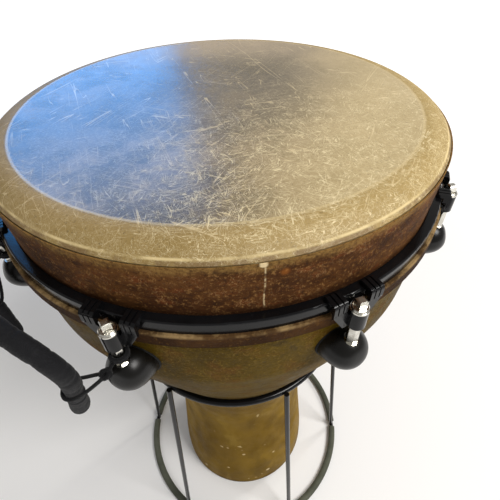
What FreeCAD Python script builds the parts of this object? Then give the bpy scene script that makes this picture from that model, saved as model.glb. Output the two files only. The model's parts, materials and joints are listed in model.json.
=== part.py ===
import FreeCAD, Part
import math
import os

# A key-tuned djembe standing in its wire floor stand.
# Millimetres. +Z is up, the origin is the centre of the foot on the floor.
# Azimuths are degrees about +Z from +X; the player's side is -Y.

# ---- driving dimensions ------------------------------------------------------
HEAD_RADIUS = 177.8          # a 14 inch head
TOTAL_HEIGHT = 635.0         # 25 inches
WALL = 6.0                   # moulded shell wall

# shell, outer profile as (radius, height); the wall is offset inwards from it
FOOT_RADIUS = 105.9
FOOT_FLARE = [(105.9, 3.0), (105.0, 30.0), (102.4, 62.0), (98.9, 100.0), (95.2, 140.0), (92.6, 175.0)]
WAIST = [(91.5, 205.0), (92.4, 230.0), (95.6, 255.0), (101.6, 280.0)]
BOWL = [(109.0, 308.0), (120.1, 352.4), (129.0, 373.0), (142.3, 406.0), (155.6, 438.0), (166.4, 465.0),
        (172.4, 482.0), (176.9, 497.0)]
LUG_BAND = [(179.3, 509.0), (182.3, 550.0)]      # straight taper that carries the lugs
NECK = [(182.4, 555.0), (180.9, 562.0), (178.4, 568.0), (177.0, 576.0), (176.9, 590.0), (176.9, 612.0)]
FOOT_CHAMFER = 1.5
RIM_INNER_RADIUS = 154.0     # inside of the thickened bearing edge
RIM_DEPTH = 34.0

# drum head
FILM = 1.0
CREST_START = 159.6          # where the flat film begins to roll over the bearing edge
CREST_DROP = 7.2
LIP_RADIUS = 180.0
LIP_TOP = 625.4
LIP_BOTTOM = 612.0
COLLAR_TOP = (181.3, 624.9)  # outer radius and height of the collar's upper edge
COLLAR_FOOT = (178.9, 584.0)
COLLAR_THICKNESS = 0.8

# hoops
HOOP_RADIUS = 186.2
HOOP_STRIP = 2.6
HOOP_TOP = 584.5
HOOP_BOTTOM = 575.3
HOOP_LIP_INNER = 179.5
HOOP_LIP = 2.2
SKIRT_RADIUS = 188.6
SKIRT_INNER = 184.2
SKIRT_TOP = 575.0
SKIRT_BOTTOM = 564.0
SKIRT_THICKNESS = 1.3

# tuning lugs
LUG_COUNT = 8
LUG_FIRST = -112.5
ROD_RADIUS_FROM_AXIS = 193.4
ROD_SHANK = 2.75             # 12-24 thread, 5.5 mm over the crests
ROD_SQUARE = 5.6             # takes a standard drum key
ROD_HEAD_TOP = 586.6
ROD_HEAD_BOTTOM = 580.0      # the floor of the flange's dish
ROD_FLANGE_TOP = 580.7
ROD_FLANGE_RADIUS = 5.5
ROD_BOTTOM = 546.0
ROD_HEAD_TURN = (52.0, 31.0) # the first head's turn from its lug, and the step to the next
WASHER_RADIUS = 5.9
WASHER_TOP = 579.2
WASHER_BOTTOM = 578.0
BOSS_RADIUS = 5.9
BOSS_TOP = 577.9
BOSS_BOTTOM = 563.5
BOSS_BORE = 3.1
BOSS_COUNTERBORE = 4.5       # the receiver nut rises into this as the head is tightened
BOSS_COUNTERBORE_DEPTH = 5.2
NUT_RADIUS = 4.1
NUT_FLANGE = 5.0
NUT_TOP = 563.5
NUT_BOTTOM = 537.0
NUT_SHOULDER = 543.0
NUT_SHOULDER_HEIGHT = 2.4
NUT_BORE = 2.8
ARM_OFFSET = 13.4            # hooks stand this far each side of the rod
ARM_WIDTH = 10.0
PLATE_INNER = 189.5
PLATE_THICKNESS = 2.3
PLATE_BOTTOM = 562.0
FINGER_COUNT = 3
FINGER_WIDTH = 2.6
FINGER_PITCH = 3.6
CASING_RADIUS = 16.5
CASING_REACH = 23.0
CASING_BASE = 181.5
CASING_HEIGHT = 530.0
CASING_TILT = 15.0
CASING_POWER = 2.6
SOCKET_BOTTOM = 536.0
GASKET = 1.2
SCREW_HEIGHTS = (519.0, 538.5)
SCREW_RADIUS = 2.4
SCREW_TIP = 188.6
SCREW_HEAD_RADIUS = 4.2
SCREW_HEAD = 2.8
SCREW_WASHER_RADIUS = 5.6
SCREW_WASHER = 1.0
SCREW_CLEARANCE = 0.1

# floor stand
STAND_RODS = 6
STAND_FIRST_ROD = -8.0
WIRE = 3.0                   # radius of the upright rods
FLOOR_RING_RADIUS = 167.8
FLOOR_RING_WIRE = 3.2
SLEEVE = 5.45                # outer radius of the hose that sleeves the floor ring
SLEEVE_GAP_DEG = 2.0
TOP_RING_RADIUS = 124.2
TOP_RING_WIRE = 4.0
TOP_RING_HEIGHT = 350.9
ROD_FOOT_RADIUS = 166.6
ROD_TIP_HEIGHT = 354.5

# carrying strap and its ties
STRAP_RADIUS = 6.0
STRAP_END_RADIUS = 6.6
STRAP_MIDDLE = -135.0        # the strap is the same each side of this azimuth
STRAP_HALF = [(215.0, 13.0, 500.0), (215.5, 15.0, 528.0), (217.0, 17.0, 553.0), (220.0, 15.2, 576.0),
              (222.5, 8.6, 591.0)]
STRAP_CROWN = (223.5, 0.0, 597.0)
TIE_RADIUS = 1.3
TIE_HOLD = (215.6, 15.1, 530.0)  # where the loop goes round the strap, written as the route is
NECK_RADIUS = 4.8            # the strap is drawn in to this under the loop
NECK_HALF_LENGTH = 2.4
TIE_CORNER = 6.6             # half side of the square that the loop's route makes round the neck
TIE_LEAVES = 4.6             # the strands leave the neck this far towards the knot
TIE_SPREAD = 1.0             # and reach the knot this far each side of its middle
COIL_BOTTOM = 549.7
COIL_TOP = 556.6
COIL_INNER = 4.3
COIL_OUTER = 6.9
KNOT = (205.8, 0.9, 548.4)   # radius, degrees towards the strap, height
KNOT_RADIUS = 4.4

UP = FreeCAD.Vector(0, 0, 1)
ORIGIN = FreeCAD.Vector(0, 0, 0)


def point(radius, azimuth, height):
    a = math.radians(azimuth)
    return FreeCAD.Vector(radius * math.cos(a), radius * math.sin(a), height)


def profile_point(radius, height):
    return FreeCAD.Vector(radius, 0, height)


def spun(edges):
    """A ring solid: the closed profile in the XZ plane, turned once about Z."""
    face = Part.Face(Part.Wire(edges))
    return face.revolve(ORIGIN, UP, 360)


def lines(points, closed=True):
    vectors = [profile_point(*p) for p in points]
    pairs = list(zip(vectors, vectors[1:]))
    if closed:
        pairs.append((vectors[-1], vectors[0]))
    return [Part.LineSegment(a, b).toShape() for a, b in pairs]


def arc(start, middle, end):
    return Part.Arc(profile_point(*start), profile_point(*middle), profile_point(*end)).toShape()


def ring_section(inner, outer, bottom, top):
    return spun(lines([(inner, bottom), (outer, bottom), (outer, top), (inner, top)]))


def placed(shape, azimuth):
    """Turns a shape built on the +X axis to its azimuth."""
    turned = shape.copy()
    turned.rotate(ORIGIN, UP, azimuth)
    return turned


def save(name, shape):
    shape.exportStep("parts/%s.step" % name)
    print(name, "valid" if shape.isValid() else "INVALID", round(shape.Volume / 1000.0, 2), "cm3")


def lug_azimuths():
    return [LUG_FIRST + 360.0 / LUG_COUNT * i for i in range(LUG_COUNT)]


# ---- shell -------------------------------------------------------------------
def moved_in(points, inset, first=None, last=None):
    """The points moved inwards across the line they lie on; first and last replace the ends' directions."""
    moved = []
    for i, (radius, height) in enumerate(points):
        before = points[max(i - 1, 0)]
        after = points[min(i + 1, len(points) - 1)]
        run = after[0] - before[0]
        rise = after[1] - before[1]
        if i == 0 and first:
            run, rise = first
        if i == len(points) - 1 and last:
            run, rise = last
        length = math.hypot(run, rise)
        moved.append((radius - inset * rise / length, height + inset * run / length))
    return moved


def band_direction():
    (r0, z0), (r1, z1) = LUG_BAND
    return (r1 - r0, z1 - z0)


def outline(inset=0.0):
    """The shell's profile below and above the lug band, moved inwards (or outwards) by a constant."""
    below = moved_in(FOOT_FLARE + WAIST + BOWL + LUG_BAND[:1], inset, last=band_direction())
    above = moved_in(LUG_BAND[1:] + NECK, inset, first=band_direction())
    return below, above


def outline_edges(below, above):
    """A curve, the straight lug band and a second curve that leaves it smoothly."""
    along = FreeCAD.Vector(band_direction()[0], 0, band_direction()[1])
    start = profile_point(*below[1]).sub(profile_point(*below[0]))
    end = profile_point(*above[-1]).sub(profile_point(*above[-2]))
    lower = Part.BSplineCurve()
    lower.interpolate(Points=[profile_point(*p) for p in below], InitialTangent=start, FinalTangent=along)
    upper = Part.BSplineCurve()
    upper.interpolate(Points=[profile_point(*p) for p in above], InitialTangent=along, FinalTangent=end)
    return [lower.toShape()] + lines([below[-1], above[0]], closed=False) + [upper.toShape()]


def crest_radius():
    """Radius of the arc that rolls the film from the flat to the crest."""
    reach = HEAD_RADIUS - CREST_START
    return (reach ** 2 + CREST_DROP ** 2) / (2.0 * CREST_DROP)


def crest_point(radius, offset=0.0):
    """A point on the crest arc at this radius, offset inwards along the arc's own radius."""
    big = crest_radius()
    sine = (radius - CREST_START) / big
    cosine = math.sqrt(1.0 - sine ** 2)
    return (CREST_START + (big - offset) * sine, TOTAL_HEIGHT - big + (big - offset) * cosine)


def lug_screw_hole(height, radius, start, length):
    """A radial cylinder on the +X axis."""
    return Part.makeCylinder(radius, length, FreeCAD.Vector(start, 0, height), FreeCAD.Vector(1, 0, 0))


def make_shell():
    below, above = outline()
    inner_below, inner_above = outline(WALL)
    inner_below[0] = (inner_below[0][0], 0.0)
    inner_above = [p for p in inner_above if p[1] < TOTAL_HEIGHT - RIM_DEPTH - 8.0]
    neck_top = above[-1]
    rim_gap = FILM + 0.1
    rim_outer = crest_point(HEAD_RADIUS - 0.6, rim_gap)
    rim_middle = crest_point((CREST_START + HEAD_RADIUS) / 2.0, rim_gap)
    rim_inner = crest_point(CREST_START, rim_gap)
    rim_inside = (RIM_INNER_RADIUS, TOTAL_HEIGHT - rim_gap - 4.0)
    rim_foot = (RIM_INNER_RADIUS, TOTAL_HEIGHT - RIM_DEPTH)
    foot_inner = inner_below[0]
    foot_outer = (below[0][0] - FOOT_CHAMFER, 0.0)
    edges = outline_edges(below, above)
    edges += lines([neck_top, (rim_outer[0], neck_top[1] + 3.0), rim_outer], closed=False)
    edges.append(arc(rim_outer, rim_middle, rim_inner))
    edges += lines([rim_inner, (RIM_INNER_RADIUS + 2.0, rim_inner[1]), rim_inside, rim_foot, inner_above[-1]],
                   closed=False)
    edges += outline_edges(inner_below, inner_above)
    edges += lines([foot_inner, foot_outer, below[0]], closed=False)
    shell = spun(Part.sortEdges(edges)[0])
    for azimuth in lug_azimuths():
        for height in SCREW_HEIGHTS:
            hole = lug_screw_hole(height, SCREW_RADIUS + SCREW_CLEARANCE, 160.0, 40.0)
            shell = shell.cut(placed(hole, azimuth))
    return shell


# ---- drum head ---------------------------------------------------------------
def make_film():
    outer_crest = crest_point(HEAD_RADIUS)
    inner_crest = crest_point(HEAD_RADIUS, FILM)
    mid = (CREST_START + HEAD_RADIUS) / 2.0
    top = TOTAL_HEIGHT
    lip_foot = LIP_RADIUS - 0.8
    edges = lines([(0, top), (CREST_START, top)], closed=False)
    edges.append(arc((CREST_START, top), crest_point(mid), outer_crest))
    edges += lines([outer_crest, (LIP_RADIUS, LIP_TOP), (lip_foot, LIP_BOTTOM), (lip_foot - FILM, LIP_BOTTOM),
                    (LIP_RADIUS - FILM, LIP_TOP - 0.5), inner_crest], closed=False)
    edges.append(arc(inner_crest, crest_point(mid, FILM), (CREST_START, top - FILM)))
    edges += lines([(CREST_START, top - FILM), (0, top - FILM), (0, top)], closed=False)
    return spun(edges)


def make_collar():
    """The skirt that hangs from the crest, tapers in and then spreads to line the flesh hoop."""
    t = COLLAR_THICKNESS
    spread = SKIRT_INNER - 0.3
    return spun(lines([
        (COLLAR_TOP[0] - t, COLLAR_TOP[1]), COLLAR_TOP, COLLAR_FOOT, (COLLAR_FOOT[0] + 0.3, 579.2),
        (spread, 573.6), (spread, 567.0), (spread - t, 567.0), (spread - t, 573.2),
        (COLLAR_FOOT[0] - 0.6, 578.8), (COLLAR_FOOT[0] - t, COLLAR_FOOT[1])]))


def make_flesh_hoop_wrap():
    """The channel of head material that wraps the flesh hoop."""
    t = SKIRT_THICKNESS
    return spun(lines([
        (SKIRT_INNER, SKIRT_TOP), (SKIRT_RADIUS - 0.8, SKIRT_TOP), (SKIRT_RADIUS, SKIRT_TOP - 0.8),
        (SKIRT_RADIUS, SKIRT_BOTTOM + 0.8), (SKIRT_RADIUS - 0.8, SKIRT_BOTTOM), (SKIRT_INNER, SKIRT_BOTTOM),
        (SKIRT_INNER, SKIRT_BOTTOM + t), (SKIRT_RADIUS - t, SKIRT_BOTTOM + t),
        (SKIRT_RADIUS - t, SKIRT_TOP - t), (SKIRT_INNER, SKIRT_TOP - t)]))


def make_flesh_hoop():
    gap = SKIRT_THICKNESS + 0.05
    return ring_section(SKIRT_INNER + 0.8, SKIRT_RADIUS - gap, SKIRT_BOTTOM + gap, SKIRT_TOP - gap)


def make_counter_hoop():
    bead = 1.2
    corner = 0.2929 * bead
    edges = lines([(HOOP_RADIUS, HOOP_TOP - bead), (HOOP_RADIUS, HOOP_BOTTOM), (HOOP_RADIUS - HOOP_STRIP, HOOP_BOTTOM),
                   (HOOP_RADIUS - HOOP_STRIP, HOOP_TOP - HOOP_LIP), (HOOP_LIP_INNER, HOOP_TOP - HOOP_LIP),
                   (HOOP_LIP_INNER, HOOP_TOP), (HOOP_RADIUS - bead, HOOP_TOP)], closed=False)
    edges.append(arc((HOOP_RADIUS - bead, HOOP_TOP), (HOOP_RADIUS - corner, HOOP_TOP - corner),
                     (HOOP_RADIUS, HOOP_TOP - bead)))
    return spun(edges)


# ---- tuning lugs, built on the +X axis ------------------------------------------
def make_yoke():
    """The V-shaped plate that carries both hooks down to the boss."""
    outer = ARM_OFFSET + ARM_WIDTH / 2.0
    inner = ARM_OFFSET - ARM_WIDTH / 2.0
    top = HOOP_TOP - 0.5
    edge = [(outer, top), (outer - 0.8, 576.5), (9.0, PLATE_BOTTOM)]
    notch = [(inner, top), (inner, 578.0), (5.2, 572.5)]
    outline_yz = edge + [(-y, z) for y, z in reversed(edge)] + [(-y, z) for y, z in notch] + list(reversed(notch))
    points = [FreeCAD.Vector(PLATE_INNER, y, z) for y, z in outline_yz]
    face = Part.Face(Part.makePolygon(points + [points[0]]))
    return face.extrude(FreeCAD.Vector(PLATE_THICKNESS, 0, 0))


def make_finger(offset):
    """One rib of a hook: along the hoop's lip, over its edge and down the front."""
    low = HOOP_TOP + 0.1
    high = HOOP_TOP + 3.2
    front = PLATE_INNER + PLATE_THICKNESS + 0.5
    back = HOOP_LIP_INNER + 1.2
    shin = HOOP_RADIUS + 0.5
    y = offset - FINGER_WIDTH / 2.0

    def at(x, z):
        return FreeCAD.Vector(x, y, z)

    corner = 2.6
    edges = [
        Part.LineSegment(at(back, low), at(back + 0.6, high - 0.8)).toShape(),
        Part.LineSegment(at(back + 0.6, high - 0.8), at(back + 1.8, high)).toShape(),
        Part.LineSegment(at(back + 1.8, high), at(front - corner, high)).toShape(),
        Part.Arc(at(front - corner, high), at(front - 0.293 * corner, high - 0.293 * corner),
                 at(front, high - corner)).toShape(),
        Part.LineSegment(at(front, high - corner), at(front, 579.0)).toShape(),
        Part.LineSegment(at(front, 579.0), at(PLATE_INNER + 1.2, 575.0)).toShape(),
        Part.LineSegment(at(PLATE_INNER + 1.2, 575.0), at(PLATE_INNER + 1.2, 580.5)).toShape(),
        Part.LineSegment(at(PLATE_INNER + 1.2, 580.5), at(shin, 580.5)).toShape(),
        Part.LineSegment(at(shin, 580.5), at(shin, low)).toShape(),
        Part.LineSegment(at(shin, low), at(back, low)).toShape()]
    return Part.Face(Part.Wire(edges)).extrude(FreeCAD.Vector(0, FINGER_WIDTH, 0))


def make_hook_web(side):
    """The thinner web between the ribs of one hook."""
    y = side * ARM_OFFSET - ARM_WIDTH / 2.0 + 0.6
    width = ARM_WIDTH - 1.2
    over = Part.makeBox(PLATE_INNER + PLATE_THICKNESS - HOOP_LIP_INNER - 2.4, width, 2.2,
                        FreeCAD.Vector(HOOP_LIP_INNER + 2.4, y, HOOP_TOP + 0.1))
    front = Part.makeBox(PLATE_INNER + PLATE_THICKNESS - HOOP_RADIUS - 0.6, width, 4.6,
                         FreeCAD.Vector(HOOP_RADIUS + 0.6, y, HOOP_TOP - 2.3))
    return over.fuse(front)


def make_bracket():
    x = ROD_RADIUS_FROM_AXIS
    boss = Part.makeCylinder(BOSS_RADIUS, BOSS_TOP - BOSS_BOTTOM, FreeCAD.Vector(x, 0, BOSS_BOTTOM))
    gusset = Part.makeBox(x - PLATE_INNER, 10.6, 9.0, FreeCAD.Vector(PLATE_INNER, -5.3, BOSS_BOTTOM))
    boss = boss.cut(Part.makeBox(20.0, 40.0, 40.0, FreeCAD.Vector(PLATE_INNER - 20.0, -20.0, BOSS_BOTTOM - 10.0)))
    pieces = [boss, gusset]
    for side in (-1, 1):
        pieces.append(make_hook_web(side))
        for i in range(FINGER_COUNT):
            offset = side * ARM_OFFSET + (i - (FINGER_COUNT - 1) / 2.0) * FINGER_PITCH
            pieces.append(make_finger(offset))
    body = make_yoke().multiFuse(pieces)
    bore = Part.makeCylinder(BOSS_BORE, 40.0, FreeCAD.Vector(x, 0, BOSS_BOTTOM - 10.0))
    mouth = Part.makeCylinder(BOSS_COUNTERBORE, 10.0 + BOSS_COUNTERBORE_DEPTH,
                              FreeCAD.Vector(x, 0, BOSS_BOTTOM - 10.0))
    return body.cut(bore).cut(mouth).removeSplitter()


def make_washer():
    base = FreeCAD.Vector(ROD_RADIUS_FROM_AXIS, 0, WASHER_BOTTOM)
    height = WASHER_TOP - WASHER_BOTTOM
    disc = Part.makeCylinder(WASHER_RADIUS, height, base)
    return disc.cut(Part.makeCylinder(BOSS_BORE, height, base))


def make_rod(turn):
    """Square-headed tension rod with a dished flange; turn is where its head has come to rest."""
    x = ROD_RADIUS_FROM_AXIS
    half = ROD_SQUARE / 2.0
    head = Part.makeBox(ROD_SQUARE, ROD_SQUARE, ROD_HEAD_TOP - ROD_HEAD_BOTTOM,
                        FreeCAD.Vector(x - half, -half, ROD_HEAD_BOTTOM))
    head = head.makeChamfer(0.7, [e for e in head.Edges if e.BoundBox.ZMin > ROD_HEAD_TOP - 0.01])
    head.rotate(FreeCAD.Vector(x, 0, 0), UP, turn)
    under = WASHER_TOP + 0.05
    rim = ROD_FLANGE_RADIUS
    flange = spun(lines([(0, under), (rim, under), (rim, ROD_FLANGE_TOP - 0.6), (rim - 0.6, ROD_FLANGE_TOP),
                         (rim - 1.2, ROD_FLANGE_TOP), (rim - 1.7, ROD_HEAD_BOTTOM), (0, ROD_HEAD_BOTTOM)]))
    flange.translate(FreeCAD.Vector(x, 0, 0))
    shank = Part.makeCylinder(ROD_SHANK, WASHER_TOP + 0.5 - ROD_BOTTOM, FreeCAD.Vector(x, 0, ROD_BOTTOM))
    tip = [e for e in shank.Edges if e.BoundBox.ZMax < ROD_BOTTOM + 0.01]
    shank = shank.makeChamfer(0.6, tip)
    return head.multiFuse([flange, shank]).removeSplitter()


def make_nut():
    """The receiver that stands in the casing: a long hexagon with a round shoulder at the casing's mouth."""
    x = ROD_RADIUS_FROM_AXIS
    corners = [FreeCAD.Vector(x + NUT_RADIUS * math.cos(math.radians(60 * i + 30)),
                              NUT_RADIUS * math.sin(math.radians(60 * i + 30)), NUT_BOTTOM) for i in range(7)]
    body = Part.Face(Part.makePolygon(corners)).extrude(FreeCAD.Vector(0, 0, NUT_TOP - NUT_BOTTOM))
    shoulder = Part.makeCylinder(NUT_FLANGE, NUT_SHOULDER_HEIGHT, FreeCAD.Vector(x, 0, NUT_SHOULDER))
    bore = Part.makeCylinder(NUT_BORE, 60.0, FreeCAD.Vector(x, 0, NUT_BOTTOM - 10.0))
    return body.fuse(shoulder).cut(bore)


def make_casing_blank():
    """A blunt dome whose axis points out and slightly up, before it is cut to the shell."""
    steps = 10
    points = []
    for i in range(steps + 1):
        s = math.sin(math.pi / 2.0 * i / steps)
        radius = CASING_RADIUS * max(1.0 - s ** CASING_POWER, 0.0) ** (1.0 / CASING_POWER)
        points.append(FreeCAD.Vector(CASING_REACH * s, 0, radius))
    points[-1] = FreeCAD.Vector(CASING_REACH, 0, 0)
    curve = Part.BSplineCurve()
    curve.interpolate(points)
    root = FreeCAD.Vector(-14.0, 0, CASING_RADIUS)
    axis_root = FreeCAD.Vector(-14.0, 0, 0)
    wire = Part.Wire([Part.LineSegment(root, points[0]).toShape(), curve.toShape(),
                      Part.LineSegment(points[-1], axis_root).toShape(),
                      Part.LineSegment(axis_root, root).toShape()])
    dome = Part.Face(wire).revolve(ORIGIN, FreeCAD.Vector(1, 0, 0), 360)
    dome.rotate(ORIGIN, FreeCAD.Vector(0, 1, 0), -CASING_TILT)
    dome.translate(FreeCAD.Vector(CASING_BASE, 0, CASING_HEIGHT))
    return dome


def wall_solid(offset):
    """The lug band as a plain solid cone, grown outwards by offset and carried on past both ends."""
    bottom, top = moved_in(LUG_BAND, -offset)
    rise = top[1] - bottom[1]
    taper = (top[0] - bottom[0]) / rise
    bottom = (bottom[0] - taper * rise, bottom[1] - rise)
    top = (top[0] + taper * rise / 2.0, top[1] + rise / 2.0)
    return spun(lines([bottom, top, (0, top[1]), (0, bottom[1])]))


def make_casing(backing):
    x = ROD_RADIUS_FROM_AXIS
    casing = make_casing_blank().cut(backing)
    seat = Part.makeCylinder(NUT_FLANGE + 0.1, 40.0, FreeCAD.Vector(x, 0, NUT_SHOULDER - 0.05))
    socket = Part.makeCylinder(NUT_RADIUS + 0.1, 40.0, FreeCAD.Vector(x, 0, SOCKET_BOTTOM))
    casing = casing.cut(seat).cut(socket)
    for height in SCREW_HEIGHTS:
        casing = casing.cut(lug_screw_hole(height, SCREW_RADIUS, 170.0, SCREW_TIP + 0.6 - 170.0))
    return casing


def make_gasket():
    pad = Part.makeCylinder(CASING_RADIUS + 0.8, 30.0, FreeCAD.Vector(165.0, 0, CASING_HEIGHT - 0.6),
                            FreeCAD.Vector(1, 0, 0))
    gasket = pad.common(wall_solid(GASKET)).cut(wall_solid(0.0))
    for height in SCREW_HEIGHTS:
        gasket = gasket.cut(lug_screw_hole(height, SCREW_RADIUS + SCREW_CLEARANCE, 160.0, 40.0))
    return gasket


def inner_wall_radius(height):
    """Radius of the shell's inside at this height of the lug band."""
    (r0, z0), (r1, z1) = moved_in(LUG_BAND, WALL)
    return r0 + (r1 - r0) * (height - z0) / (z1 - z0)


def make_screws():
    """Both screws of one lug and their washers, entered from inside the shell."""
    screws = []
    washers = []
    for height in SCREW_HEIGHTS:
        seat = inner_wall_radius(height) - 0.6
        washer = lug_screw_hole(height, SCREW_WASHER_RADIUS, seat - SCREW_WASHER, SCREW_WASHER)
        washers.append(washer.cut(lug_screw_hole(height, SCREW_RADIUS + SCREW_CLEARANCE, seat - 3.0, 6.0)))
        under = seat - SCREW_WASHER - 0.02
        head = lug_screw_hole(height, SCREW_HEAD_RADIUS, under - SCREW_HEAD, SCREW_HEAD)
        crown = [e for e in head.Edges if e.BoundBox.XMax < under - SCREW_HEAD + 0.01]
        head = head.makeFillet(1.2, crown)
        slot = lug_screw_hole(height, 1.3, under - SCREW_HEAD, 1.6)
        shank = lug_screw_hole(height, SCREW_RADIUS - 0.05, under - 0.1, SCREW_TIP - under)
        screws.append(head.fuse(shank).cut(slot))
    return screws, washers


# ---- floor stand ---------------------------------------------------------------
def torus(major, minor, height, start=0.0, sweep=360.0):
    circle = Part.Wire([Part.Circle(FreeCAD.Vector(major, 0, height), FreeCAD.Vector(0, 1, 0), minor).toShape()])
    ring = Part.Face(circle).revolve(ORIGIN, UP, sweep)
    ring.rotate(ORIGIN, UP, start)
    return ring


def make_sleeves():
    """Six lengths of hose on the floor ring, parted where the rods are welded."""
    step = 360.0 / STAND_RODS
    sleeves = []
    for i in range(STAND_RODS):
        start = STAND_FIRST_ROD + step * i + SLEEVE_GAP_DEG
        sweep = step - 2.0 * SLEEVE_GAP_DEG
        hose = torus(FLOOR_RING_RADIUS, SLEEVE, SLEEVE, start, sweep)
        core = torus(FLOOR_RING_RADIUS, FLOOR_RING_WIRE + 0.05, SLEEVE, start - 1.0, sweep + 2.0)
        sleeves.append(hose.cut(core))
    return sleeves


def make_stand_rod(rings):
    """An upright rod, coped where it meets the two rings."""
    lean = (ROD_FOOT_RADIUS - (TOP_RING_RADIUS + TOP_RING_WIRE + WIRE)) / (TOP_RING_HEIGHT - SLEEVE)
    foot = FreeCAD.Vector(ROD_FOOT_RADIUS, 0, SLEEVE)
    tip = FreeCAD.Vector(ROD_FOOT_RADIUS - lean * (ROD_TIP_HEIGHT - SLEEVE), 0, ROD_TIP_HEIGHT)
    rod = Part.makeCylinder(WIRE, tip.sub(foot).Length, foot, tip.sub(foot))
    pieces = rod.cut(rings).Solids
    return max(pieces, key=lambda s: s.Volume)


# ---- strap and ties ---------------------------------------------------------------
def tube(points, radius, label):
    """A tube of straight runs joined by tangent arcs, each arc as large as its two runs allow."""
    edges = []
    at = points[0]
    radii = []
    for before, corner, after in zip(points, points[1:], points[2:]):
        into = corner.sub(before)
        out = after.sub(corner)
        turn = into.getAngle(out)
        reach = 0.45 * min(into.Length, out.Length)
        radii.append(reach / math.tan(turn / 2.0))
        into.normalize()
        out.normalize()
        start = corner.sub(into * reach)
        end = corner.add(out * reach)
        inward = out.sub(into)
        inward.normalize()
        bow = radii[-1] * (1.0 / math.cos(turn / 2.0) - 1.0)
        edges.append(Part.LineSegment(at, start).toShape())
        edges.append(Part.Arc(start, corner.add(inward * bow), end).toShape())
        at = end
    edges.append(Part.LineSegment(at, points[-1]).toShape())
    path = Part.Wire(edges)
    direction = points[1].sub(points[0])
    section = Part.Wire([Part.Circle(points[0], direction, radius).toShape()])
    body = path.makePipeShell([section], True, True)
    expected = math.pi * radius ** 2 * path.Length
    print(label, "length %.1f radii %s volume ratio %.4f" % (
        path.Length, [round(r, 1) for r in radii], body.Volume / expected))
    return body


def strap_points():
    """The whole route: one half, the crown, then the other half mirrored."""
    first = [point(r, STRAP_MIDDLE + a, z) for r, a, z in STRAP_HALF]
    crown = [point(STRAP_CROWN[0], STRAP_MIDDLE, STRAP_CROWN[2])]
    last = [point(r, STRAP_MIDDLE - a, z) for r, a, z in reversed(STRAP_HALF)]
    return first + crown + last


def hold_frame(side):
    """The point where a tie holds the strap, and the strap's direction there, upwards."""
    hold = point(TIE_HOLD[0], STRAP_MIDDLE - side * TIE_HOLD[1], TIE_HOLD[2])
    below, above = [point(r, STRAP_MIDDLE - side * a, z) for r, a, z in (STRAP_HALF[0], STRAP_HALF[2])]
    along = above.sub(below)
    along.normalize()
    return hold, along


def make_strap():
    route = strap_points()
    body = tube(route, STRAP_RADIUS, "strap")
    for end in (route[0], route[-1]):
        body = body.fuse(Part.makeSphere(STRAP_END_RADIUS, end))
    for side in (-1, 1):
        hold, along = hold_frame(side)
        foot = hold.sub(along * NECK_HALF_LENGTH)
        groove = Part.makeCylinder(10.0, 2.0 * NECK_HALF_LENGTH, foot, along)
        body = body.cut(groove.cut(Part.makeCylinder(NECK_RADIUS, 2.0 * NECK_HALF_LENGTH, foot, along)))
    return body


def make_coil(lug_azimuth):
    """The cord's turns round the nut as one ring with eased edges, over the lug's own axis."""
    ease = TIE_RADIUS / 2.0
    ring = spun(lines([(COIL_INNER, COIL_BOTTOM), (COIL_OUTER - ease, COIL_BOTTOM), (COIL_OUTER, COIL_BOTTOM + ease),
                       (COIL_OUTER, COIL_TOP - ease), (COIL_OUTER - ease, COIL_TOP), (COIL_INNER, COIL_TOP)]))
    ring.translate(point(ROD_RADIUS_FROM_AXIS, lug_azimuth, 0.0))
    return ring


def make_tie(lug_azimuth, side):
    """A cord: coiled round the lug's nut, knotted, and looped round the end run of the strap."""
    knot = point(KNOT[0], lug_azimuth + side * KNOT[1], KNOT[2])
    tail = point(ROD_RADIUS_FROM_AXIS + COIL_OUTER - 0.5, lug_azimuth, COIL_BOTTOM + 2.5)
    stub = Part.makeCylinder(TIE_RADIUS * 1.6, knot.sub(tail).Length, tail, knot.sub(tail))
    hold, along = hold_frame(side)
    reach = knot.sub(hold)
    rise = reach.dot(along)
    towards = reach.sub(along * rise)
    distance = towards.Length
    towards.normalize()
    across = along.cross(towards)
    corner = TIE_CORNER
    route = [(distance, -TIE_SPREAD, rise), (TIE_LEAVES, -corner, 0.4), (-corner, -corner, 0.0),
             (-corner, corner, 0.0), (TIE_LEAVES, corner, 0.4), (distance, TIE_SPREAD, rise)]
    points = [hold.add(towards * f).add(across * s).add(along * u) for f, s, u in route]
    loop = tube(points, TIE_RADIUS, "tie loop")
    return make_coil(lug_azimuth).fuse(stub).fuse(Part.makeSphere(KNOT_RADIUS, knot)).fuse(loop)


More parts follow.
